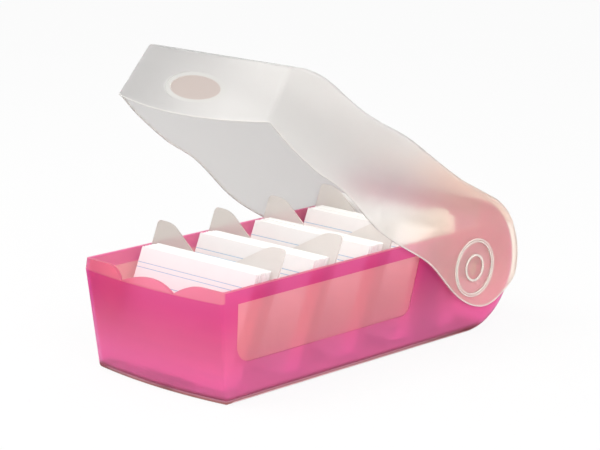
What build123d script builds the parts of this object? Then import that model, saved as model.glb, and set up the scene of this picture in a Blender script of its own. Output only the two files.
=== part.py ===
"""Card index box: a moulded tray with a rolling lid, dividers that lean back and packs of cards.

All sizes are in millimetres. X runs across the box, Y runs from the front (negative) to the
rear (positive), Z runs up. The origin is the centre of the tray's flat underside.
"""
import os
from math import asin, cos, degrees, radians, sin, sqrt, tan

from build123d import *

# Cards
card_width = 105.0
card_height = 74.0
card_thickness = 0.4
card_lean = 23.0
pack_depth = 13.4
pack_count = 4
pack_pitch = 51.2
pack_clearance = 0.3
front_space = 2.5
spare_depth = 14.0
spare_clearance = 3.0

# Tray
rim_half_width = 63.2
rim_height = 73.0
side_draft = 3.8
rim_taper = 2.2
base_length = 227.5
front_lean = 8.0
front_bow = 5.0
tray_wall = 2.0
floor_thickness = 2.2
front_corner_radius = 2.5
bottom_edge_radius = 3.0

# Lobed lip along the top of the tray's front wall
lip_height = 6.8
lip_set_back = 1.3
lip_bow = 1.0
notch_half_spacing = 23.8
side_lobe_run = 19.0
middle_lobe_drop = 1.8

# Thinned panel in each side wall
panel_depth = 0.7
panel_bottom = 25.3
panel_top_margin = 9.2
panel_front_margin = 15.0
panel_rear_margin = 52.0
panel_rear_slant = 11.0
panel_front_radius = 12.0
panel_rear_radius = 8.0

# Round rear end of the tray, and the hinge on its axis
drum_radius = 46.0
drum_wall_angle = 75.0
drum_step = 3.0
eye_radius = 9.5
eye_inner_height = 1.2
cheek_clearance = 0.6

# Rails on the tray floor, slotted for the dividers
rail_height = 4.8
rail_width = 8.0
rail_half_spacing = 30.0
rail_rear_margin = 2.0
slots_per_pitch = 6
slot_clearance = 0.4

# Dividers
divider_thickness = 1.2
divider_side_clearance = 0.7
divider_foot_chamfer = 4.0
hump_rise = 15.0
hump_dip = 3.0
hump_crown_inset = 7.0
hump_crown_radius = 24.0
hump_slope = 31.0
hump_corner_radius = 3.0
seat_clearance = 0.3

# Lid
lid_opening = 27.0
lid_wall = 1.4
lid_side_clearance = 0.6
lid_front_clearance = 1.2
lid_draft = 0.4
lid_front_half_width = 68.4
lid_front_draft = 5.6
lid_front_lean = 12.5
lid_foot_drop = 3.9
lid_front_lip = 4.0
lid_tongue = 7.0
lid_back_clearance = 2.6
lid_cheek_overhang = 2.0
lid_back_end_angle = 56.0
lid_cheek_end_angle = 30.0
lid_edge_radius = 3.0

# Waves of the lid when it is shut: how far ahead of the hinge and how high over the tray's rim,
# as shares of the lid's length; and the lobe of its lower edge round the hinge: an angle, and a
# radius as a share of the drum's
roof_wave = (
    (1.12, 0.080), (0.94, 0.150), (0.85, 0.163), (0.69, 0.140), (0.55, 0.130), (0.45, 0.130),
    (0.29, 0.111), (0.19, 0.100),
)
edge_wave = (
    (0.93, -0.036), (0.84, -0.060), (0.75, -0.077), (0.67, -0.083), (0.58, -0.105), (0.48, -0.136),
    (0.40, -0.149), (0.30, -0.155), (0.19, -0.164),
)
roof_front_slope = 0.36
edge_front_slope = -0.35
edge_lobe = ((239.0, 0.548), (288.0, 0.550), (330.0, 0.754), (360.0, 0.948))

# Hollow hinge studs, and the rings round them on the lid's cheeks
stud_radius = 6.0
stud_clearance = 0.05
stud_bore_radius = 4.2
stud_reach = 1.0
ring_height = 0.9
outer_ring_radius = 20.0
outer_ring_width = 2.4
inner_ring_width = 1.6

# Oval thumb recess in the lid's front
thumb_half_width = 25.7
thumb_half_height = 11.2
thumb_ring_width = 3.6
thumb_height = 12.5
thumb_ring_depth = 0.45
thumb_depth = 0.9

# Places and sizes that follow from the above
hinge_y = base_length / 2
hinge_z = drum_radius
front_foot_y = -base_length / 2
front_rim_y = front_foot_y - front_lean
lip_z = rim_height - lip_height
lip_y = front_foot_y - front_lean * lip_z / rim_height
rail_top = floor_thickness + rail_height
lean_run = tan(radians(card_lean))
card_rise = card_height * cos(radians(card_lean))
card_foot_z = rail_top + seat_clearance
reach = 2 * base_length
side_slope = side_draft / rim_height


def tray_half_width(y, z):
    """Half the tray's outer width at a place along it and a height: its rim narrows to the rear."""
    rear_share = (y - front_foot_y) / base_length
    return rim_half_width - side_slope * (rim_height - z) - rim_taper * rear_share * z / rim_height


rim_above_hinge = rim_height - hinge_z
lid_inner_half_width = tray_half_width(hinge_y, hinge_z + drum_radius) + lid_side_clearance
lid_half_width = lid_inner_half_width + lid_wall
lid_length = hinge_y - front_rim_y + lid_front_clearance
lid_back_radius = drum_radius + lid_back_clearance + lid_wall
lid_cheek_radius = drum_radius + lid_cheek_overhang
eye_face = lid_inner_half_width - cheek_clearance
eye_inner_x = tray_half_width(hinge_y, hinge_z) - tray_wall - eye_inner_height
stud_tip = eye_inner_x - stud_reach
pack_rear_offset = pack_clearance / cos(radians(card_lean))
wall_inside_y = front_foot_y - front_lean * card_foot_z / rim_height + tray_wall
first_divider_y = wall_inside_y + front_space + pack_depth + pack_rear_offset + seat_clearance
panel_top = rim_height - panel_top_margin
panel_front = front_rim_y + panel_front_margin
panel_rear = hinge_y - panel_rear_margin

# The shut lid is drawn on planes through the hinge, turned up by its opening. Its form is made
# wider and deeper than needed and then cut to its edges.
lid_wing = 1.2 * rim_half_width
lid_drop = 1.5 * drum_radius
lid_foot = rim_above_hinge - lid_foot_drop
lid_up = Vector(0, sin(radians(lid_opening)), cos(radians(lid_opening)))
lid_rear = Vector(0, cos(radians(lid_opening)), -sin(radians(lid_opening)))
lid_front_rise = lid_up * cos(radians(lid_front_lean)) + lid_rear * sin(radians(lid_front_lean))
hinge_point = (0, hinge_y, hinge_z)
lid_side = Plane(origin=hinge_point, x_dir=lid_rear, z_dir=(1, 0, 0))
lid_plan = Plane(origin=hinge_point, x_dir=(1, 0, 0), z_dir=lid_up)
lid_front = Plane(origin=hinge_point, x_dir=(1, 0, 0), z_dir=-lid_rear)


def polar(angle, radius):
    """Point at an angle in degrees and a radius."""
    return (radius * cos(radians(angle)), radius * sin(radians(angle)))


def bowed_plan(z, inset, corner_y, bow, radius):
    """Plan outline at height z, drawn in by inset: a bowed front with round corners, and long sides."""
    front_half = tray_half_width(corner_y, z) - inset
    rear_half = tray_half_width(reach, z) - inset
    front_y = corner_y + inset
    with BuildSketch(Plane.XY.offset(z)) as plan:
        with BuildLine():
            front = ThreePointArc((-front_half, front_y), (0, front_y - bow), (front_half, front_y))
            Polyline(front @ 1, (rear_half, reach), (-rear_half, reach), front @ 0)
        make_face()
        fillet(plan.vertices().group_by(Axis.Y)[0], radius=radius)
    return plan.sketch


def tray_form(inset, bottom, top):
    """The tray's form drawn in by inset at every wall, with its floor and rim at given heights."""
    corner = front_corner_radius - inset / 2
    radius = drum_radius - inset
    drum_foot_y = hinge_y + sqrt(radius**2 - (hinge_z - bottom) ** 2)
    tip_y, tip_z = polar(drum_wall_angle, radius)
    tip = (hinge_y + tip_y, hinge_z + tip_z)
    step = (tip[0] - drum_step, tip[1] - drum_step / 2)
    high = 2 * rim_height
    foot_plan = bowed_plan(0, inset, front_foot_y, front_bow, corner)
    lip_plan = bowed_plan(lip_z, inset, lip_y, front_bow, corner)
    rim_plan = bowed_plan(rim_height, inset, lip_y + lip_set_back, lip_bow, corner)
    high_plan = bowed_plan(high, inset, lip_y + lip_set_back, lip_bow, corner)
    with BuildPart() as form:
        loft(sections=[foot_plan, lip_plan], ruled=True)
        loft(sections=[lip_plan, rim_plan], ruled=True)
        loft(sections=[rim_plan, high_plan], ruled=True)
        with BuildSketch(Plane.YZ):
            with BuildLine():
                drum = ThreePointArc((drum_foot_y, bottom), (hinge_y + radius, hinge_z), tip)
                if inset:
                    Polyline(drum @ 1, (tip[0], top), (-reach, top), (-reach, bottom), drum @ 0)
                else:
                    Polyline(
                        drum @ 1, step, (step[0] - drum_step, top), (-reach, top), (-reach, bottom), drum @ 0
                    )
            make_face()
        extrude(amount=reach, both=True, mode=Mode.INTERSECT)
    return form.part


def lid_curve(wave, inset):
    """Points of one of the lid's waves, drawn in by inset from above."""
    return [
        (-ahead * lid_length, rim_above_hinge + height * lid_length - inset) for ahead, height in wave
    ]


def lid_section(u, inset, drop):
    """Section across the lid at a place u along it: its cheeks splay out towards its front."""
    ahead = -u / lid_length
    corners = []
    for v in (-drop, 2 * rim_height):
        hinge_half = lid_half_width - v * tan(radians(lid_draft))
        front_half = lid_front_half_width - (v - lid_foot) * tan(radians(lid_front_draft))
        corners.append((hinge_half + (front_half - hinge_half) * ahead - inset, v))
    (low_half, low_v), (high_half, high_v) = corners
    with BuildSketch(lid_front.offset(-u)) as section:
        with BuildLine():
            Polyline(
                (-low_half, low_v), (low_half, low_v), (high_half, high_v), (-high_half, high_v), close=True
            )
        make_face()
    return section.sketch


def lid_form(inset, drop):
    """The shut lid's form drawn in by inset at every wall, reaching drop below the hinge."""
    radius = lid_back_radius - inset
    roof = lid_curve(roof_wave, inset)
    front_u = -lid_length + inset - (lid_foot + drop) * tan(radians(lid_front_lean))
    bow_radius = (rim_half_width**2 + front_bow**2) / (2 * front_bow)
    wing_u = front_u - front_bow + bow_radius - sqrt(bow_radius**2 - lid_wing**2)
    with BuildPart() as cheeks:
        loft(
            sections=[
                lid_section(-lid_length - lid_drop, inset, drop),
                lid_section(lid_back_radius + lid_back_clearance, inset, drop),
            ],
            ruled=True,
        )
    with BuildPart() as form:
        with BuildSketch(lid_side.offset(-lid_wing)):
            with BuildLine():
                crest = Spline(*roof, (0, radius), tangents=((1, roof_front_slope), (1, 0)))
                back = ThreePointArc((0, radius), polar(45, radius), (radius, 0))
                Polyline(back @ 1, (radius, -drop), (roof[0][0], -drop), crest @ 0)
            make_face()
        extrude(amount=2 * lid_wing)
        add(cheeks.part, mode=Mode.INTERSECT)
        with BuildSketch(lid_plan.offset(-drop)):
            with BuildLine():
                bow = ThreePointArc((-lid_wing, wing_u), (0, front_u - front_bow), (lid_wing, wing_u))
                Polyline(bow @ 1, (lid_wing, reach), (-lid_wing, reach), bow @ 0)
            make_face()
        extrude(amount=3 * rim_height, dir=lid_front_rise, mode=Mode.INTERSECT)
    return form.part


def rounded_lid_form(inset, drop):
    """The lid's form with round edges between its roof, its front and its cheeks."""
    form = lid_form(inset, drop)
    edges = []
    for edge in form.edges():
        place = lid_side.to_local_coords(edge.center())
        on_cheek = abs(place.Z) > lid_inner_half_width / 2 and place.Y > lid_wall - drop
        on_crease = abs(place.Z) < lid_wall and place.X < drum_radius - lid_length and place.Y > 0
        if on_cheek or on_crease:
            edges.append(edge)
    return form.fillet(lid_edge_radius - inset, edges)


def cards(rear_foot_y, depth, lean):
    """Block of cards standing on the rails, with the rear of its foot at rear_foot_y."""
    rise = card_height * cos(radians(lean))
    run = card_height * sin(radians(lean))
    with BuildPart() as block:
        with BuildSketch(Plane.YZ):
            with BuildLine():
                Polyline(
                    (rear_foot_y - depth, card_foot_z),
                    (rear_foot_y, card_foot_z),
                    (rear_foot_y + run, card_foot_z + rise),
                    (rear_foot_y - depth + run, card_foot_z + rise),
                    close=True,
                )
            make_face()
        extrude(amount=card_width / 2, both=True)
    return block.part


def save(piece, name):
    """Label a finished piece and write it to its file."""
    piece.label = name
    export_step(piece, f"parts/{name}.step")


def round_low_edges(form, radius):
    """Round the long edges under a tray form and round its drum."""
    floor_edges = form.faces().sort_by(Axis.Z)[0].edges().sort_by(Axis.Y)[:-1]
    drum_edges = form.edges().filter_by(GeomType.ELLIPSE)
    return form.fillet(radius, floor_edges + drum_edges)


os.makedirs("parts", exist_ok=True)

# The thin panels: what lies outside the tray's form once that is drawn in by their depth
with BuildPart() as panel_cut:
    with BuildSketch(Plane.YZ) as panel:
        with BuildLine():
            Polyline(
                (panel_front, panel_bottom),
                (panel_rear - panel_rear_slant, panel_bottom),
                (panel_rear, panel_top),
                (panel_front, panel_top),
                close=True,
            )
        make_face()
        fillet(panel.vertices().group_by(Axis.Y)[0].sort_by(Axis.X)[0], radius=panel_front_radius)
        fillet(panel.vertices().group_by(Axis.Y)[0].sort_by(Axis.X)[-1], radius=panel_rear_radius)
    extrude(amount=reach, both=True)
    add(tray_form(panel_depth, panel_depth, 2 * rim_height), mode=Mode.SUBTRACT)

# Tray: the form hollowed out, with rails, hinge eyes, panels and a lobed front lip
lobe_radius = (side_lobe_run**2 + lip_height**2) / (2 * lip_height)
lobe_middle = polar(90 + degrees(asin(side_lobe_run / lobe_radius)) / 2, lobe_radius)
lobe_centre_x = notch_half_spacing + side_lobe_run
lobe_centre_z = rim_height - lobe_radius
with BuildPart() as tray:
    add(round_low_edges(tray_form(0, 0, rim_height), bottom_edge_radius))
    add(
        round_low_edges(
            tray_form(tray_wall, floor_thickness, 2 * rim_height), bottom_edge_radius - tray_wall
        ),
        mode=Mode.SUBTRACT,
    )
    add(panel_cut.part, mode=Mode.SUBTRACT)
    with BuildSketch(Plane.XZ.offset(-front_foot_y - front_corner_radius)):
        with BuildLine():
            middle = ThreePointArc(
                (-notch_half_spacing, lip_z),
                (0, rim_height - middle_lobe_drop),
                (notch_half_spacing, lip_z),
            )
            right = ThreePointArc(
                middle @ 1,
                (lobe_centre_x + lobe_middle[0], lobe_centre_z + lobe_middle[1]),
                (lobe_centre_x, rim_height),
            )
            Polyline(
                right @ 1, (lobe_centre_x, 2 * rim_height), (-lobe_centre_x, 2 * rim_height),
                (-lobe_centre_x, rim_height),
            )
            ThreePointArc(
                (-lobe_centre_x, rim_height),
                (-lobe_centre_x - lobe_middle[0], lobe_centre_z + lobe_middle[1]),
                middle @ 0,
            )
        make_face()
    extrude(amount=reach, mode=Mode.SUBTRACT)
    rail_front_y = wall_inside_y + seat_clearance
    with BuildSketch(Plane.XY.offset(floor_thickness)):
        for side in (-1, 1):
            with Locations((side * rail_half_spacing, rail_front_y)):
                Rectangle(
                    rail_width, hinge_y - rail_rear_margin - rail_front_y, align=(Align.CENTER, Align.MIN)
                )
    extrude(amount=rail_height)
    slot_pitch = pack_pitch / slots_per_pitch
    slot_count = int((hinge_y - rail_rear_margin - first_divider_y) / slot_pitch)
    slot_depth = (divider_thickness + 2 * slot_clearance) / cos(radians(card_lean))
    slot_front = first_divider_y - slot_clearance / cos(radians(card_lean))
    slot_run = rail_height * lean_run
    with BuildSketch(Plane.YZ):
        for slot in range(slot_count):
            front = slot_front + slot * slot_pitch
            with BuildLine():
                Polyline(
                    (front, rail_top), (front + slot_depth, rail_top),
                    (front + slot_depth - slot_run, floor_thickness), (front - slot_run, floor_thickness),
                    close=True,
                )
            make_face()
    extrude(amount=rail_half_spacing + rail_width, both=True, mode=Mode.SUBTRACT)
    for side in (-1, 1):
        with BuildSketch(Plane(origin=(side * eye_inner_x, hinge_y, hinge_z), z_dir=(side, 0, 0))):
            Circle(eye_radius)
        extrude(amount=eye_face - eye_inner_x)
    with BuildSketch(Plane.YZ):
        with Locations((hinge_y, hinge_z)):
            Circle(stud_radius + stud_clearance)
    extrude(amount=reach, both=True, mode=Mode.SUBTRACT)
save(tray.part, "tray")

# Dividers: a plate with a hump at each end, its foot in a slot of the rails
plate_heel = divider_thickness * sin(radians(card_lean))
plate_foot = -(rail_height - seat_clearance - plate_heel) / cos(radians(card_lean))
plate_top = card_height + hump_rise
plate_dip = card_height - hump_dip
plate_foot_half = tray_half_width(hinge_y, 0) - tray_wall - divider_side_clearance
plate_top_half = tray_half_width(hinge_y, rim_height) - tray_wall - divider_side_clearance
crown_x = plate_top_half - hump_crown_inset
bend_run = hump_crown_radius * sin(radians(hump_slope))
bend_fall = hump_crown_radius * (1 - cos(radians(hump_slope)))
slope_run = (plate_top - plate_dip - 2 * bend_fall) / tan(radians(hump_slope))
dip_x = crown_x - 2 * bend_run - slope_run
half_bend = polar(90 - hump_slope / 2, hump_crown_radius)
for number in range(1, pack_count + 1):
    foot_y = first_divider_y + (number - 1) * pack_pitch
    plate_plane = Plane(
        origin=(0, foot_y, rail_top),
        x_dir=(1, 0, 0),
        z_dir=(0, -cos(radians(card_lean)), sin(radians(card_lean))),
    )
    with BuildPart() as divider:
        with BuildSketch(plate_plane) as plate:
            with BuildLine():
                Polyline(
                    (0, plate_foot), (plate_foot_half, plate_foot), (plate_top_half, plate_top),
                    (crown_x, plate_top),
                )
                crown = ThreePointArc(
                    (crown_x, plate_top),
                    (crown_x - half_bend[0], plate_top - hump_crown_radius + half_bend[1]),
                    (crown_x - bend_run, plate_top - bend_fall),
                )
                slope = Line(crown @ 1, (dip_x + bend_run, plate_dip + bend_fall))
                dip = ThreePointArc(
                    slope @ 1,
                    (dip_x + half_bend[0], plate_dip + hump_crown_radius - half_bend[1]),
                    (dip_x, plate_dip),
                )
                Line(dip @ 1, (0, plate_dip))
                mirror(about=Plane.YZ)
            make_face()
            chamfer(plate.vertices().group_by(Axis.Y)[0], length=divider_foot_chamfer)
            outer_corners = plate.vertices().group_by(Axis.X)
            fillet(outer_corners[0] + outer_corners[-1], radius=hump_corner_radius)
        extrude(amount=-divider_thickness)
    save(divider.part, f"divider_{number}")
    block_rear = foot_y - pack_rear_offset + seat_clearance * lean_run
    face_depth = card_thickness / cos(radians(card_lean))
    save(cards(block_rear, pack_depth - face_depth, card_lean), f"card_pack_{number}")
    save(cards(block_rear - pack_depth + face_depth, face_depth, card_lean), f"ruled_card_{number}")

last_top_y = foot_y + (card_rise + divider_thickness) * lean_run + divider_thickness
spare_rear = last_top_y + spare_clearance + spare_depth
save(cards(spare_rear, spare_depth, 0), "spare_cards")

# The thumb recess: a ring and a deeper oval, both taken from the outermost skin of the lid's front
thumb_cuts = []
for ring, depth in ((0, thumb_ring_depth), (thumb_ring_width, thumb_depth)):
    with BuildPart() as thumb_cut:
        add(lid_form(0, lid_drop))
        add(lid_form(depth, 2 * lid_drop), mode=Mode.SUBTRACT)
        with BuildSketch(lid_front.offset(lid_length / 2)):
            with Locations((0, lid_foot + thumb_height)):
                Ellipse(thumb_half_width - ring, thumb_half_height - ring)
        extrude(amount=lid_length, mode=Mode.INTERSECT)
    thumb_cuts.append(thumb_cut.part)

# Lid: the form hollowed out, its lower edge cut to the wave and its back cut short
edge_start_u = lid_front_lip - lid_length
with BuildPart() as lid:
    add(rounded_lid_form(0, lid_drop))
    add(rounded_lid_form(lid_wall, 2 * lid_drop), mode=Mode.SUBTRACT)
    with BuildSketch(lid_side):
        with BuildLine():
            wave = lid_curve(edge_wave, 0)
            lobe = [polar(angle, share * drum_radius) for angle, share in edge_lobe]
            cheek_end = polar(lid_cheek_end_angle, lid_cheek_radius)
            edge = Spline(
                (edge_start_u, lid_foot), *wave, *lobe, cheek_end,
                tangents=((1, edge_front_slope), (-cheek_end[1], cheek_end[0])),
            )
            rear = ThreePointArc(
                cheek_end,
                polar((lid_cheek_end_angle + lid_back_end_angle) / 2, lid_cheek_radius),
                polar(lid_back_end_angle, lid_cheek_radius),
            )
            Polyline(
                rear @ 1, polar(lid_back_end_angle, 2 * lid_cheek_radius), (reach, 0), (reach, -reach),
                (edge_start_u, -reach), edge @ 0,
            )
        make_face()
    extrude(amount=reach, both=True, mode=Mode.SUBTRACT)
    with BuildSketch(lid_front.offset(-edge_start_u)):
        with BuildLine():
            tongue = ThreePointArc(
                (-lid_front_half_width, lid_foot),
                (0, lid_foot - lid_tongue),
                (lid_front_half_width, lid_foot),
            )
            Polyline(
                tongue @ 1, (reach, lid_foot), (reach, -reach), (-reach, -reach), (-reach, lid_foot),
                tongue @ 0,
            )
        make_face()
    extrude(amount=reach, mode=Mode.SUBTRACT)
    cheek_x = lid_half_width - lid_wall / 2
    for side in (-1, 1):
        with BuildSketch(Plane(origin=(side * stud_tip, hinge_y, hinge_z), z_dir=(side, 0, 0))):
            Circle(stud_radius)
            Circle(stud_bore_radius, mode=Mode.SUBTRACT)
        extrude(amount=cheek_x - stud_tip)
        with BuildSketch(Plane(origin=(side * cheek_x, hinge_y, hinge_z), z_dir=(side, 0, 0))):
            Circle(outer_ring_radius)
            Circle(outer_ring_radius - outer_ring_width, mode=Mode.SUBTRACT)
            Circle(eye_radius)
            Circle(eye_radius - inner_ring_width, mode=Mode.SUBTRACT)
        extrude(amount=lid_wall / 2 + ring_height)
    add(thumb_cuts, mode=Mode.SUBTRACT)
save(lid.part, "lid")
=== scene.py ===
# %% [markdown]
# # A card index box in frosted plastic
#
# The object is a desk box for index cards: a deep magenta tray with a round rear end, a frosted
# lid that rolls up over that end on a hinge, four leaning dividers and packs of white cards. The
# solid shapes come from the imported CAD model, so this lesson is about what the eye adds to them:
# cloudy plastic that light passes through, single cards in every pack, and ruled lines.

# %% Load the frame
import math
import random

import bmesh
import bpy
from mathutils import Matrix, Vector


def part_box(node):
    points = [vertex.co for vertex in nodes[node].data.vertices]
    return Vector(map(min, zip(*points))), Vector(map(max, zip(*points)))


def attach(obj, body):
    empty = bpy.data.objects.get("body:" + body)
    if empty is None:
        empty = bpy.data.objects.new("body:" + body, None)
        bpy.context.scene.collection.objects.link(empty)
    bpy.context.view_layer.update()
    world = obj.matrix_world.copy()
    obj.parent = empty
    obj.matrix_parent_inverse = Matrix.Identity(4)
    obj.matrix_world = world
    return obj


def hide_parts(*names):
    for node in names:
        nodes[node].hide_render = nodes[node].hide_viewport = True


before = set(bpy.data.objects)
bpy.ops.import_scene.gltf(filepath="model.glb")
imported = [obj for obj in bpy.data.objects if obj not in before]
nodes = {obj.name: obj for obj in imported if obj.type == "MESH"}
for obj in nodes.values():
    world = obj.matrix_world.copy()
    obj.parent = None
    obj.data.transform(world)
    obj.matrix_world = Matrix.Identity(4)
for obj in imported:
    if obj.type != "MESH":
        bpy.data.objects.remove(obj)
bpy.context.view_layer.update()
scene = bpy.context.scene
MM = 0.001

# A count and some sizes of the CAD model that several cells below follow
PACK_COUNT = 4
BASE_LENGTH = 227.5 * MM
FRONT_LEAN = 8 * MM
CORNER_RADIUS = 2.5 * MM
FRONT_RIM_Y = CORNER_RADIUS - FRONT_LEAN - BASE_LENGTH / 2

# %% [markdown]
# ## Camera
#
# A product photo like this is taken from a little above, with a long lens, so that the box looks
# calm and its long side barely narrows. The camera stands off to the front right. Its direction is
# given by two angles and its place by a distance and two small offsets, because that is how a
# photographer would describe it; the lens follows from how large the tray is in the picture.

# %% Camera
PHOTO_WIDTH = 600
SENSOR_WIDTH = 36
CLIP_END = 20
CAMERA_UNIT = 122 * MM
view_turn = math.radians(44.25)
view_drop = math.radians(13.415)
focal_pixels = 2279.3
camera_distance = 11.683 * CAMERA_UNIT
camera_aside = 0.745 * CAMERA_UNIT
camera_lift = 0.835 * CAMERA_UNIT
front_rim = Vector((0, FRONT_RIM_Y, 0))

to_right = Vector((math.cos(view_turn), math.sin(view_turn), 0))
to_camera = Vector((
    math.sin(view_turn) * math.cos(view_drop),
    -math.cos(view_turn) * math.cos(view_drop),
    math.sin(view_drop),
))
to_top = to_camera.cross(to_right)
camera_data = bpy.data.cameras.new("photo_camera")
camera_data.sensor_width = SENSOR_WIDTH
camera_data.lens = focal_pixels * SENSOR_WIDTH / PHOTO_WIDTH
camera_data.clip_end = CLIP_END
camera = bpy.data.objects.new("photo_camera", camera_data)
scene.collection.objects.link(camera)
camera.matrix_world = Matrix((to_right, to_top, to_camera)).transposed().to_4x4()
camera.location = (
    front_rim + to_camera * camera_distance + to_right * camera_aside + to_top * camera_lift
)
scene.camera = camera
print("lens", round(camera_data.lens, 1), "mm, camera", [round(c, 3) for c in camera.location])

# %% [markdown]
# ## Light and background
#
# Frosted plastic shows what is behind it, so the backdrop matters as much as the lamps. The world is
# an even white studio. It lights the box softly, and the camera, mirror rays and rays through the
# plastic see it as clean white. Two broad lamps give the walls their gentle change of tone.

# %% World and lamps
WHITE = (1, 1, 1, 1)
WORLD_LIGHT = 0.64
scene.view_settings.view_transform = "Standard"
world = bpy.data.worlds.new("studio")
scene.world = world
world.use_nodes = True
tree = world.node_tree
tree.nodes.clear()


def seen_directly(tree):
    """A socket that is 1 for camera, glossy and transmission rays, and 0 for the rest."""
    path = tree.nodes.new("ShaderNodeLightPath")
    total = path.outputs["Is Camera Ray"]
    for name in ("Is Glossy Ray", "Is Transmission Ray"):
        step = tree.nodes.new("ShaderNodeMath")
        step.operation = "MAXIMUM"
        tree.links.new(total, step.inputs[0])
        tree.links.new(path.outputs[name], step.inputs[1])
        total = step.outputs["Value"]
    return total


def add_background(tree, strength):
    """A white background of a given strength."""
    node = tree.nodes.new("ShaderNodeBackground")
    node.inputs["Strength"].default_value = strength
    node.inputs["Color"].default_value = WHITE
    return node.outputs["Background"]


def add_lamp(name, place, aim, size, power):
    """A square area lamp at a place, turned to a point."""
    data = bpy.data.lights.new(name, "AREA")
    data.size = size
    data.energy = power
    lamp = bpy.data.objects.new(name, data)
    scene.collection.objects.link(lamp)
    lamp.location = place
    lamp.rotation_euler = (Vector(aim) - Vector(place)).to_track_quat("-Z", "Y").to_euler()


choose = tree.nodes.new("ShaderNodeMixShader")
output = tree.nodes.new("ShaderNodeOutputWorld")
tree.links.new(seen_directly(tree), choose.inputs["Fac"])
tree.links.new(add_background(tree, WORLD_LIGHT), choose.inputs[1])
tree.links.new(add_background(tree, 1), choose.inputs[2])
tree.links.new(choose.outputs["Shader"], output.inputs["Surface"])

add_lamp("key_above", place=(-0.5, -0.5, 1.1), aim=(0, 0, 0.05), size=0.8, power=7.0)
add_lamp("fill_right", place=(1.2, -0.4, 0.7), aim=(0, 0, 0.08), size=0.9, power=9.0)

# %% [markdown]
# ## Floor
#
# The floor is a plain pale sheet. It takes the soft shadow under the box, and for the rays that see
# the backdrop as clean white, most of its own colour gives way to the same white, so that it fades
# into the backdrop.

# %% Floor
FLOOR_REACH = 6.0
FLOOR_GREY = 0.9
FLOOR_WHITE = 0.9
mesh = bpy.data.meshes.new("floor")
form = bmesh.new()
bmesh.ops.create_grid(form, x_segments=1, y_segments=1, size=FLOOR_REACH)
form.to_mesh(mesh)
form.free()
floor = bpy.data.objects.new("floor", mesh)
scene.collection.objects.link(floor)

floor_look = bpy.data.materials.new("pale_floor")
floor_look.use_nodes = True
tree = floor_look.node_tree
tree.nodes.clear()
matt = tree.nodes.new("ShaderNodeBsdfDiffuse")
matt.inputs["Color"].default_value = (FLOOR_GREY, FLOOR_GREY, FLOOR_GREY, 1)
white = tree.nodes.new("ShaderNodeEmission")
white.inputs["Strength"].default_value = 1
share = tree.nodes.new("ShaderNodeMath")
share.operation = "MULTIPLY"
share.inputs[1].default_value = FLOOR_WHITE
blend = tree.nodes.new("ShaderNodeMixShader")
output = tree.nodes.new("ShaderNodeOutputMaterial")
tree.links.new(seen_directly(tree), share.inputs[0])
tree.links.new(share.outputs["Value"], blend.inputs["Fac"])
tree.links.new(matt.outputs["BSDF"], blend.inputs[1])
tree.links.new(white.outputs["Emission"], blend.inputs[2])
tree.links.new(blend.outputs["Shader"], output.inputs["Surface"])
mesh.materials.append(floor_look)

# %% [markdown]
# ## A group for the moulding grain
#
# Moulded polypropylene is never quite even: it has a fine satin grain from the mould and faint
# clouds where it flowed and cooled. Tray, lid and dividers all show both, so they are made once, as
# a node group that gives a cloud mask, a roughness and a bumped normal. Card stock has a fibre and
# clouds of its own, at other scales, and takes them from the same group.

# %% Moulding grain group
GRAIN_BUMP = 0.1 * MM
GRAIN_DETAIL = 3
CLOUD_DETAIL = 4
CLOUD_DISTORTION = 0.6
ROUGHNESS_SPREAD = 0.05


def new_group(name, inputs, outputs):
    """An empty shader group, with inputs as (name, type, default) and outputs as (name, type)."""
    group = bpy.data.node_groups.new(name, "ShaderNodeTree")
    for label, kind, default in inputs:
        socket = group.interface.new_socket(label, in_out="INPUT", socket_type=kind)
        socket.default_value = default
    for label, kind in outputs:
        group.interface.new_socket(label, in_out="OUTPUT", socket_type=kind)
    return group, group.nodes.new("NodeGroupInput"), group.nodes.new("NodeGroupOutput")


grain, grain_in, grain_out = new_group(
    "moulding_grain",
    (
        ("Grain Scale", "NodeSocketFloat", 2500.0),
        ("Grain Depth", "NodeSocketFloat", 0.12),
        ("Cloud Scale", "NodeSocketFloat", 45.0),
        ("Roughness", "NodeSocketFloat", 0.4),
    ),
    (
        ("Cloud", "NodeSocketFloat"),
        ("Roughness", "NodeSocketFloat"),
        ("Normal", "NodeSocketVector"),
    ),
)
place = grain.nodes.new("ShaderNodeTexCoord")
fine = grain.nodes.new("ShaderNodeTexNoise")
fine.inputs["Detail"].default_value = GRAIN_DETAIL
cloud = grain.nodes.new("ShaderNodeTexNoise")
cloud.inputs["Detail"].default_value = CLOUD_DETAIL
cloud.inputs["Distortion"].default_value = CLOUD_DISTORTION
bump = grain.nodes.new("ShaderNodeBump")
bump.inputs["Distance"].default_value = GRAIN_BUMP
spread = grain.nodes.new("ShaderNodeMapRange")
spread.inputs["To Min"].default_value = -ROUGHNESS_SPREAD
spread.inputs["To Max"].default_value = ROUGHNESS_SPREAD
total = grain.nodes.new("ShaderNodeMath")
total.operation = "ADD"
for noise, scale in ((fine, "Grain Scale"), (cloud, "Cloud Scale")):
    grain.links.new(place.outputs["Object"], noise.inputs["Vector"])
    grain.links.new(grain_in.outputs[scale], noise.inputs["Scale"])
grain.links.new(grain_in.outputs["Grain Depth"], bump.inputs["Strength"])
grain.links.new(fine.outputs["Fac"], bump.inputs["Height"])
grain.links.new(cloud.outputs["Fac"], spread.inputs["Value"])
grain.links.new(spread.outputs["Result"], total.inputs[0])
grain.links.new(grain_in.outputs["Roughness"], total.inputs[1])
grain.links.new(cloud.outputs["Fac"], grain_out.inputs["Cloud"])
grain.links.new(total.outputs["Value"], grain_out.inputs["Roughness"])
grain.links.new(bump.outputs["Normal"], grain_out.inputs["Normal"])

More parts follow.
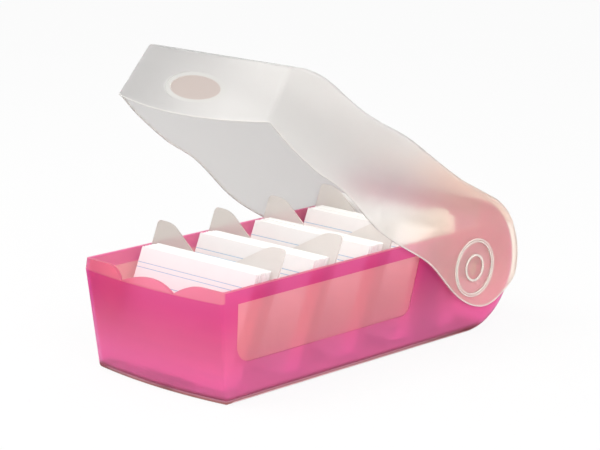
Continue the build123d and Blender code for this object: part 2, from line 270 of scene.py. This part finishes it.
# %% [markdown]
# ## Small helpers for masks and materials
#
# A mask is a number from 0 to 1 that says where on the piece an effect shows. Most of them here are
# ramps along one axis of the object, so a helper makes a ramp from a value and the two places where
# it starts and ends. Others multiply masks, lay one colour over another, and fit the finished
# colour and the grain to a material.

# %% Mask helpers
MIX_FACTOR, MIX_FIRST, MIX_SECOND, MIX_RESULT = 0, 6, 7, 2


def add_math(tree, operation, first, second=0.0):
    """A math node on two sockets or numbers."""
    node = tree.nodes.new("ShaderNodeMath")
    node.operation = operation
    for value, socket in zip((first, second), node.inputs):
        if isinstance(value, (int, float)):
            socket.default_value = value
        else:
            tree.links.new(value, socket)
    return node.outputs["Value"]


def add_product(tree, first, *others):
    """Several sockets or numbers multiplied together."""
    product = first
    for other in others:
        product = add_math(tree, "MULTIPLY", product, other)
    return product


def add_squares(tree, first, second):
    """The sum of the squares of two sockets."""
    return add_math(tree, "ADD", add_product(tree, first, first), add_product(tree, second, second))


def add_ramp(tree, value, start, end):
    """0 at start and 1 at end, smooth between them and level outside."""
    node = tree.nodes.new("ShaderNodeMapRange")
    node.interpolation_type = "SMOOTHSTEP"
    node.inputs["From Min"].default_value = start
    node.inputs["From Max"].default_value = end
    tree.links.new(value, node.inputs["Value"])
    return node.outputs["Result"]


def add_mix(tree, mask, first, second):
    """A colour that goes from first to second as the mask rises."""
    node = tree.nodes.new("ShaderNodeMix")
    node.data_type = "RGBA"
    for value, index in ((mask, MIX_FACTOR), (first, MIX_FIRST), (second, MIX_SECOND)):
        if isinstance(value, tuple):
            node.inputs[index].default_value = value
        else:
            tree.links.new(value, node.inputs[index])
    return node.outputs[MIX_RESULT]


def add_layers(tree, colour, layers):
    """A colour with others laid over it, each where its mask shows it."""
    for mask, over in layers:
        colour = add_mix(tree, mask, colour, over)
    return colour


def add_distance(tree, coordinates, origin, direction):
    """How far a point lies from an origin, measured along a direction."""
    offset = tree.nodes.new("ShaderNodeVectorMath")
    offset.operation = "SUBTRACT"
    offset.inputs[1].default_value = origin
    along = tree.nodes.new("ShaderNodeVectorMath")
    along.operation = "DOT_PRODUCT"
    along.inputs[1].default_value = direction
    tree.links.new(coordinates, offset.inputs[0])
    tree.links.new(offset.outputs["Vector"], along.inputs[0])
    return along.outputs["Value"]


def add_group(tree, group, **values):
    """A group node with values for its inputs, given with underscores for spaces."""
    node = tree.nodes.new("ShaderNodeGroup")
    node.node_tree = group
    for name, value in values.items():
        node.inputs[name.replace("_", " ").title()].default_value = value
    return node


def new_material(name):
    """A material, its node tree and its Principled shader."""
    look = bpy.data.materials.new(name)
    look.use_nodes = True
    return look, look.node_tree, look.node_tree.nodes["Principled BSDF"]


def add_coordinates(tree):
    """The place of a point in the object's own coordinates."""
    return tree.nodes.new("ShaderNodeTexCoord").outputs["Object"]


def add_axes(tree, coordinates):
    """The X, Y and Z of a place."""
    split = tree.nodes.new("ShaderNodeSeparateXYZ")
    tree.links.new(coordinates, split.inputs["Vector"])
    return split.outputs


def fit_surface(tree, shader, colour, grained, names=("Roughness", "Normal")):
    """Feeds a shader its colour, and what it needs of a grain group."""
    tree.links.new(colour, shader.inputs["Base Color"])
    for name in names:
        tree.links.new(grained.outputs[name], shader.inputs[name])


def pass_lamp_light(look, shader, tint, share):
    """Lets a share of the lamps' light through, tinted, so that cloudy plastic's shadow is light."""
    tree = look.node_tree
    clear = tree.nodes.new("ShaderNodeBsdfTransparent")
    clear.inputs["Color"].default_value = (*(share * part for part in tint[:3]), 1)
    path = tree.nodes.new("ShaderNodeLightPath")
    mix = tree.nodes.new("ShaderNodeMixShader")
    tree.links.new(path.outputs["Is Shadow Ray"], mix.inputs["Fac"])
    tree.links.new(shader.outputs["BSDF"], mix.inputs[1])
    tree.links.new(clear.outputs["BSDF"], mix.inputs[2])
    tree.links.new(mix.outputs["Shader"], tree.nodes["Material Output"].inputs["Surface"])


def dress(node, look):
    """Gives a CAD node one material in place of those it has."""
    materials = nodes[node].data.materials
    materials.clear()
    materials.append(look)


def srgb(red, green, blue):
    """A linear colour from three numbers of 0 to 255 as a picture editor shows them."""
    def to_linear(part):
        part /= 255
        return part / 12.92 if part <= 0.04045 else ((part + 0.055) / 1.055) ** 2.4
    return (to_linear(red), to_linear(green), to_linear(blue), 1.0)


# %% [markdown]
# ## Magenta tray
#
# The tray is coloured, cloudy polypropylene. Light goes into it and comes out again elsewhere, so it
# glows where a wall is thin and lit from behind and goes deep where it is thick. A Principled shader
# with part transmission and part diffuse does that. Masks then read where on the tray a point is:
# how far inside the plane of a side wall, the bowed front wall or the drum, and how high. They pale
# the thin side panels. The rest is painted light and shade: highlights on the rim and the lip,
# painted light on the inner faces, walls painted paler low down that deepen up to the rim, and a
# painted shade in a narrow band along the base.

# %% Tray material
PLASTIC_IOR = 1.2
TRAY_ROUGHNESS = 0.34
TRAY_TRANSMISSION = 0.75
TRAY_LAMP_SHARE = 0.4
RIM_HEIGHT = 73 * MM
RIM_HALF_WIDTH = 63.2 * MM
SIDE_DRAFT = 3.8 * MM
RIM_TAPER = 2.2 * MM
FRONT_BOW = 5 * MM
DRUM_RADIUS = 46 * MM
PANEL_DEPTH = 0.7 * MM
PANEL_FRONT = (FRONT_RIM_Y + 10 * MM, FRONT_RIM_Y + 11.5 * MM)
LIP_HIGHLIGHT_FRONT = (FRONT_RIM_Y + 2 * MM, FRONT_RIM_Y)
LIP_HIGHLIGHT_RISE = (65.6 * MM, 66.6 * MM)
WALL_THROUGH = (1.3 * MM, 1.8 * MM)
DRUM_THROUGH = (DRUM_RADIUS - 1.0 * MM, DRUM_RADIUS - 1.6 * MM)
INSIDE_LIGHT_RISE = (3 * MM, 40 * MM)
PAINTED_LIGHT_FADE = (12 * MM, 60 * MM)
BASE_SHADE_BAND = (6 * MM, 1.5 * MM)
RIM_HIGHLIGHT_BAND = (0.8 * MM, 0.2 * MM)

tray_look, tree, shader = new_material("magenta_plastic")
axes = add_axes(tree, add_coordinates(tree))
moulded = add_group(tree, grain, roughness=TRAY_ROUGHNESS)
height = axes["Z"]
behind_hinge = add_math(tree, "SUBTRACT", axes["Y"], BASE_LENGTH / 2)
from_front = add_math(tree, "ADD", axes["Y"], BASE_LENGTH / 2)
side = add_math(tree, "ABSOLUTE", axes["X"])
height_share = add_math(tree, "DIVIDE", height, RIM_HEIGHT)
rear_share = add_math(tree, "DIVIDE", from_front, BASE_LENGTH)
side_share = add_math(tree, "DIVIDE", side, RIM_HALF_WIDTH)

drawn_in = add_product(tree, add_math(tree, "SUBTRACT", RIM_HEIGHT, height), SIDE_DRAFT / RIM_HEIGHT)
taper = add_product(tree, rear_share, height_share, RIM_TAPER)
wall_plane = add_math(tree, "SUBTRACT", RIM_HALF_WIDTH, drawn_in)
wall_plane = add_math(tree, "SUBTRACT", wall_plane, taper)
depth = add_math(tree, "SUBTRACT", wall_plane, side)

bow = add_product(tree, side_share, side_share, -FRONT_BOW)
front_depth = add_math(tree, "ADD", from_front, add_product(tree, height_share, FRONT_LEAN))
front_depth = add_math(tree, "ADD", front_depth, add_math(tree, "ADD", bow, FRONT_BOW))

behind_hinge = add_math(tree, "MAXIMUM", behind_hinge, 0.0)
above_hinge = add_math(tree, "SUBTRACT", height, DRUM_RADIUS)
from_hinge = add_math(tree, "POWER", add_squares(tree, behind_hinge, above_hinge), 0.5)

panel = add_product(
    tree,
    add_ramp(tree, depth, 0.4 * PANEL_DEPTH, 0.7 * PANEL_DEPTH),
    add_ramp(tree, depth, 1.6 * PANEL_DEPTH, 1.3 * PANEL_DEPTH),
    add_ramp(tree, axes["Y"], *PANEL_FRONT),
)
# Painted light: the inner faces of the walls and the drum turn pale peach, more so the higher they
# are.
inside = add_product(
    tree,
    add_ramp(tree, height, *INSIDE_LIGHT_RISE),
    add_ramp(tree, depth, *WALL_THROUGH),
    add_ramp(tree, front_depth, *WALL_THROUGH),
    add_ramp(tree, from_hinge, *DRUM_THROUGH),
)
# Painted highlight along the top face of the rim.
rim_highlight = add_product(
    tree,
    add_ramp(tree, height, *(RIM_HEIGHT - reach for reach in RIM_HIGHLIGHT_BAND)),
    add_ramp(tree, height, *(RIM_HEIGHT + reach for reach in RIM_HIGHLIGHT_BAND)),
)
# Painted highlight on the lip at the top of the front wall, which faces up into the light.
lip_highlight = add_product(
    tree,
    add_ramp(tree, height, *LIP_HIGHLIGHT_RISE),
    add_ramp(tree, axes["Y"], *LIP_HIGHLIGHT_FRONT),
)
# Painted light: the walls keep the pale base colour low down, against the shade that falls there,
# and deepen to magenta by the rim.
painted_light_fade = add_ramp(tree, height, *PAINTED_LIGHT_FADE)
# Painted shade: a dark band along the base, where the box meets the floor.
low = add_ramp(tree, height, *BASE_SHADE_BAND)
tray_colour = add_layers(tree, srgb(254, 150, 206), (
    (painted_light_fade, srgb(232, 78, 166)),
    (low, srgb(140, 56, 54)),
    (inside, srgb(232, 160, 160)),
    (rim_highlight, srgb(250, 150, 184)),
    (lip_highlight, srgb(242, 150, 176)),
    (panel, srgb(255, 182, 196)),
))
fit_surface(tree, shader, tray_colour, moulded)
shader.inputs["Transmission Weight"].default_value = TRAY_TRANSMISSION
shader.inputs["IOR"].default_value = PLASTIC_IOR
pass_lamp_light(tray_look, shader, srgb(255, 170, 205), TRAY_LAMP_SHARE)
dress("tray", tray_look)

# %% [markdown]
# ## Frosted plastic
#
# The lid and the dividers are the same plastic without the colour. It scatters light, so what is
# behind it shows as a soft shape. The thin lid lets through more than the tray does, the dividers
# less, and both have a warm pale grey tint, which painted shade greys on their left side. On the
# lid, masks pale the drum end and the band between the hinge rings, tint the oval thumb recess and
# paint a highlight on its ring.

# %% Frosted materials
FROST_ROUGHNESS = 0.35
FROST_LAMP_SHARE = 0.85
HINGE = (0, BASE_LENGTH / 2, DRUM_RADIUS)
LID_OPENING = math.radians(27)
LID_UP = (0, math.sin(LID_OPENING), math.cos(LID_OPENING))
LID_REAR = (0, math.cos(LID_OPENING), -math.sin(LID_OPENING))
LID_FRONT_GAP = 1.2 * MM
LID_LENGTH = BASE_LENGTH + FRONT_LEAN + LID_FRONT_GAP
LEFT_SHADE = (50 * MM, -50 * MM)
FRONT_SHADE = (50 * MM, -40 * MM)
OVER_DRUM = (-110 * MM, -30 * MM)
OVAL_HEIGHT = 35.6 * MM
OVAL_HALF_WIDTH = 22.1 * MM
OVAL_HALF_HEIGHT = 8.2 * MM
OVAL_EDGE = (1.08, 0.92)
OVAL_RING_HIGHLIGHT_EDGE = (1.7, 1.4)
LID_FRONT = (40 * MM - LID_LENGTH, 35 * MM - LID_LENGTH)
HINGE_RING_INNER = 9.5 * MM
HINGE_RING_OUTER = 20 * MM
HINGE_RING_BLUR = 1 * MM


def lid_layers(tree, coordinates, across, painted_left_shade, shaded):
    """The masks and colours that are laid over the lid's tint."""
    height = add_distance(tree, coordinates, HINGE, LID_UP)
    rear = add_distance(tree, coordinates, HINGE, LID_REAR)
    from_hinge = add_math(tree, "POWER", add_squares(tree, rear, height), 0.5)
    relief = add_product(
        tree,
        add_ramp(tree, from_hinge, HINGE_RING_INNER, HINGE_RING_INNER + HINGE_RING_BLUR),
        add_ramp(tree, from_hinge, HINGE_RING_OUTER, HINGE_RING_OUTER - HINGE_RING_BLUR),
    )
    aside = add_math(tree, "DIVIDE", across, OVAL_HALF_WIDTH)
    above_oval = add_math(tree, "SUBTRACT", height, OVAL_HEIGHT)
    up = add_math(tree, "DIVIDE", above_oval, OVAL_HALF_HEIGHT)
    reach = add_squares(tree, aside, up)
    at_front = add_ramp(tree, rear, *LID_FRONT)
    # Painted highlight: the bevel ring round the thumb recess is painted lighter.
    ring = add_product(tree, add_ramp(tree, reach, *OVAL_RING_HIGHLIGHT_EDGE), at_front)
    oval = add_product(tree, add_ramp(tree, reach, *OVAL_EDGE), at_front)
    return (
        (add_ramp(tree, rear, *OVER_DRUM), srgb(255, 241, 230)),
        (painted_left_shade, shaded),
        (relief, srgb(255, 250, 238)),
        (ring, srgb(242, 242, 239)),
        (oval, srgb(224, 212, 206)),
    )


def frosted_material(name, tint, clouded, shaded, transmission, is_lid):
    """Cloudy clear plastic: its tint varies with the moulding's clouds, and painted shade greys it
    to the left.
    """
    look, tree, shader = new_material(name)
    coordinates = add_coordinates(tree)
    axes = add_axes(tree, coordinates)
    moulded = add_group(tree, grain, roughness=FROST_ROUGHNESS)
    colour = add_mix(tree, moulded.outputs["Cloud"], tint, clouded)
    # Painted shade: the plastic greys towards its left side; on the dividers that shade fades out
    # towards the rear.
    painted_left_shade = add_ramp(tree, axes["X"], *LEFT_SHADE)
    if is_lid:
        layers = lid_layers(tree, coordinates, axes["X"], painted_left_shade, shaded)
    else:
        painted_left_shade = add_product(tree, painted_left_shade, add_ramp(tree, axes["Y"], *FRONT_SHADE))
        layers = ((painted_left_shade, shaded),)
    fit_surface(tree, shader, add_layers(tree, colour, layers), moulded)
    shader.inputs["Transmission Weight"].default_value = transmission
    shader.inputs["IOR"].default_value = PLASTIC_IOR
    pass_lamp_light(look, shader, tint, FROST_LAMP_SHARE)
    return look


lid_look = frosted_material(
    "frosted_lid",
    tint=srgb(249, 248, 246),
    clouded=srgb(244, 243, 241),
    shaded=srgb(220, 219, 218),
    transmission=0.84,
    is_lid=True,
)
divider_look = frosted_material(
    "frosted_divider",
    tint=srgb(238, 234, 230),
    clouded=srgb(232, 228, 224),
    shaded=srgb(212, 206, 200),
    transmission=0.55,
    is_lid=False,
)
dress("lid", lid_look)
for number in range(1, PACK_COUNT + 1):
    dress(f"divider_{number}", divider_look)

# %% [markdown]
# ## Bright edge of the lid
#
# Light that travels inside clear plastic leaves it at its cut edges, so the free edge of the lid
# shows as a thin bright line, and so do the raised rings round the hinge. That line is a painted
# highlight: the sharp edges of a merged copy of the lid are walked from point to point into chains,
# and each chain becomes a fine round near-white tube just inside the surface. The hinge studs and
# the thumb recess have sharp edges too, but they stay plain: near the hinge only the tops of the
# rings count, and round the recess no edge does.

# %% Lid edge highlight
HIGHLIGHT_RADIUS = 0.5 * MM
HIGHLIGHT_INSET = 1.2 * HIGHLIGHT_RADIUS
HIGHLIGHT_ROUNDING = 2
HIGHLIGHT_TRANSMISSION = 0.3
MERGE_DISTANCE = 0.01 * MM
SHARP = math.radians(50)
RING_REACH = 23 * MM
RING_TOP = 63.9 * MM
RECESS_REACH = 30 * MM
RECESS_DROP = 14 * MM
RECESS_DEPTH = 10 * MM
SHORTEST_HIGHLIGHT = 15 * MM


def lid_place(point):
    """A point in the lid's own directions: across, up from the hinge and to the rear of it."""
    offset = point - Vector(HINGE)
    return point.x, offset.dot(Vector(LID_UP)), offset.dot(Vector(LID_REAR))


def is_bright(edge):
    """Whether an edge of the lid is sharp and belongs to its free edge or to a hinge ring."""
    if len(edge.link_faces) != 2 or edge.calc_face_angle() < SHARP:
        return False
    across, up, rear = lid_place((edge.verts[0].co + edge.verts[1].co) / 2)
    near_hinge = math.hypot(up, rear) < RING_REACH and abs(across) < RING_TOP
    on_front = rear < RECESS_DEPTH - LID_LENGTH
    in_recess = on_front and abs(across) < RECESS_REACH and up > OVAL_HEIGHT - RECESS_DROP
    return not near_hinge and not in_recess


def walk_chains(edges):
    """The edges joined end to end, as lists of points a little inside the surface."""
    links = {}
    for edge in edges:
        first, second = edge.verts
        links.setdefault(first, []).append(second)
        links.setdefault(second, []).append(first)
    chains = []
    ends = [vertex for vertex in links if len(links[vertex]) == 1]
    for start in ends + list(links):
        if not links[start]:
            continue
        chain = [start]
        while links[chain[-1]]:
            following = links[chain[-1]].pop()
            links[following].remove(chain[-1])
            chain.append(following)
        chains.append([vertex.co - vertex.normal * HIGHLIGHT_INSET for vertex in chain])
    return chains


form = bmesh.new()
form.from_mesh(nodes["lid"].data)
bmesh.ops.remove_doubles(form, verts=form.verts, dist=MERGE_DISTANCE)
chains = walk_chains([edge for edge in form.edges if is_bright(edge)])
form.free()

# Painted highlight: a near-white, mostly diffuse plastic for the tube, which shows through the lid
# as its bright edge line.
edge_highlight_look, tree, shader = new_material("painted_edge_highlight")
edge_grain = add_group(tree, grain, roughness=FROST_ROUGHNESS)
edge_cloud = edge_grain.outputs["Cloud"]
edge_highlight_colour = add_mix(tree, edge_cloud, srgb(255, 253, 249), srgb(248, 246, 242))
fit_surface(tree, shader, edge_highlight_colour, edge_grain, names=("Roughness",))
shader.inputs["Transmission Weight"].default_value = HIGHLIGHT_TRANSMISSION

line = bpy.data.curves.new("lid_edge_line", "CURVE")
line.dimensions = "3D"
line.bevel_depth = HIGHLIGHT_RADIUS
line.bevel_resolution = HIGHLIGHT_ROUNDING
line.use_fill_caps = True
for chain in chains:
    length = sum((second - first).length for first, second in zip(chain, chain[1:]))
    if length < SHORTEST_HIGHLIGHT:
        continue
    spline = line.splines.new("POLY")
    spline.points.add(len(chain) - 1)
    for point, place in zip(spline.points, chain):
        point.co = (*place, 1)
line_object = bpy.data.objects.new("lid_edge_line", line)
scene.collection.objects.link(line_object)
finished_line = line_object.evaluated_get(bpy.context.evaluated_depsgraph_get())
edge_highlight_mesh = bpy.data.meshes.new_from_object(finished_line)
bpy.data.objects.remove(line_object)
edge_highlight = bpy.data.objects.new("lid_edge_highlight", edge_highlight_mesh)
scene.collection.objects.link(edge_highlight)
edge_highlight_mesh.materials.clear()
edge_highlight_mesh.materials.append(edge_highlight_look)
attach(edge_highlight, "lid")
print("bead faces", len(edge_highlight_mesh.polygons), "chains", [len(chain) for chain in chains])

# %% [markdown]
# ## Paper and ruled lines
#
# Index cards are stiff white paper, ruled in pale blue: two lines close together under the heading
# and evenly spaced lines below. The lines are drawn by the distance from the card's top edge, which
# a leaning card measures along its lean.

# %% Paper materials
PAPER_GRAIN = {"grain_scale": 1800.0, "grain_depth": 0.08, "cloud_scale": 60.0, "roughness": 0.75}
CARD_LEAN = math.radians(23)
CARD_TOP = 75.4 * MM
LINE_WIDTH = 0.35 * MM
HEADING_LINES = (10 * MM, 13.2 * MM)
LINE_SPACING = 9 * MM


def add_line(tree, distance):
    """1 on a line and 0 beside it, from the distance to the middle of the line."""
    return add_ramp(tree, distance, LINE_WIDTH, 0.5 * LINE_WIDTH)


def ruling(tree, height):
    """The mask of all lines on a leaning card, from the height over the floor."""
    down = add_math(tree, "SUBTRACT", CARD_TOP, height)
    down = add_math(tree, "DIVIDE", down, math.cos(CARD_LEAN))
    past_heading = add_math(tree, "SUBTRACT", down, HEADING_LINES[-1])
    below = add_ramp(tree, past_heading, 0.4 * LINE_SPACING, 0.5 * LINE_SPACING)
    beat = add_math(tree, "PINGPONG", past_heading, 0.5 * LINE_SPACING)
    mask = add_product(tree, add_line(tree, beat), below)
    for line in HEADING_LINES:
        offset = add_math(tree, "ABSOLUTE", add_math(tree, "SUBTRACT", down, line))
        mask = add_math(tree, "MAXIMUM", mask, add_line(tree, offset))
    return mask


def paper_material(name, ruled):
    """White card stock with a faint fibre, and pale blue lines where it is ruled."""
    look, tree, shader = new_material(name)
    fibre = add_group(tree, grain, **PAPER_GRAIN)
    colour = add_mix(tree, fibre.outputs["Cloud"], srgb(253, 253, 251), srgb(246, 246, 245))
    if ruled:
        axes = add_axes(tree, add_coordinates(tree))
        colour = add_mix(tree, ruling(tree, axes["Z"]), colour, srgb(186, 210, 232))
    fit_surface(tree, shader, colour, fibre)
    return look


plain_paper = paper_material("card_paper", False)
ruled_paper = paper_material("ruled_card_paper", True)
for number in range(1, PACK_COUNT + 1):
    dress(f"ruled_card_{number}", ruled_paper)

# %% [markdown]
# ## Packs of single cards
#
# A pack is some thirty cards that never line up exactly. Each is a thin slab, moved a few tenths of
# a millimetre aside, and its top lies a little below that of the block that stands for the pack in
# the CAD model. The slabs are sheared to the lean of the block, stay inside it and replace it.

# %% Card packs
SHEET_PITCH = 0.45 * MM
SHEET_SHARE = 0.82
SHUFFLE_ASIDE = 0.5 * MM
SHUFFLE_DOWN = 0.8 * MM
SPARE_SEED = 9


def fill_with_cards(block, lean, body, seed):
    """Single cards standing where a CAD block of cards stands."""
    dice = random.Random(seed)
    low, high = (Vector(corner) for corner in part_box(block))
    run = (high.z - low.z) * math.tan(lean)
    depth = high.y - low.y - run
    count = round(depth / SHEET_PITCH)
    form = bmesh.new()
    for index in range(count):
        aside = dice.uniform(-SHUFFLE_ASIDE, SHUFFLE_ASIDE)
        sheet = bmesh.ops.create_cube(form, size=1)["verts"]
        size = Vector((
            high.x - low.x - 2 * SHUFFLE_ASIDE,
            depth / count * SHEET_SHARE,
            high.z - low.z - dice.uniform(0, SHUFFLE_DOWN),
        ))
        bmesh.ops.scale(form, vec=size, verts=sheet)
        centre = Vector((aside, low.y + depth * (index + 0.5) / count, low.z + size.z / 2))
        bmesh.ops.translate(form, vec=centre, verts=sheet)
    for vertex in form.verts:
        vertex.co.y += (vertex.co.z - low.z) * math.tan(lean)
    mesh = bpy.data.meshes.new(block + "_sheets")
    form.to_mesh(mesh)
    form.free()
    mesh.materials.append(plain_paper)
    pack = bpy.data.objects.new(block + "_sheets", mesh)
    scene.collection.objects.link(pack)
    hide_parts(block)
    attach(pack, body)
    print(pack.name, count, "cards")


for number in range(1, PACK_COUNT + 1):
    fill_with_cards(f"card_pack_{number}", CARD_LEAN, f"pack_{number}", number)
fill_with_cards("spare_cards", 0.0, "spare", SPARE_SEED)
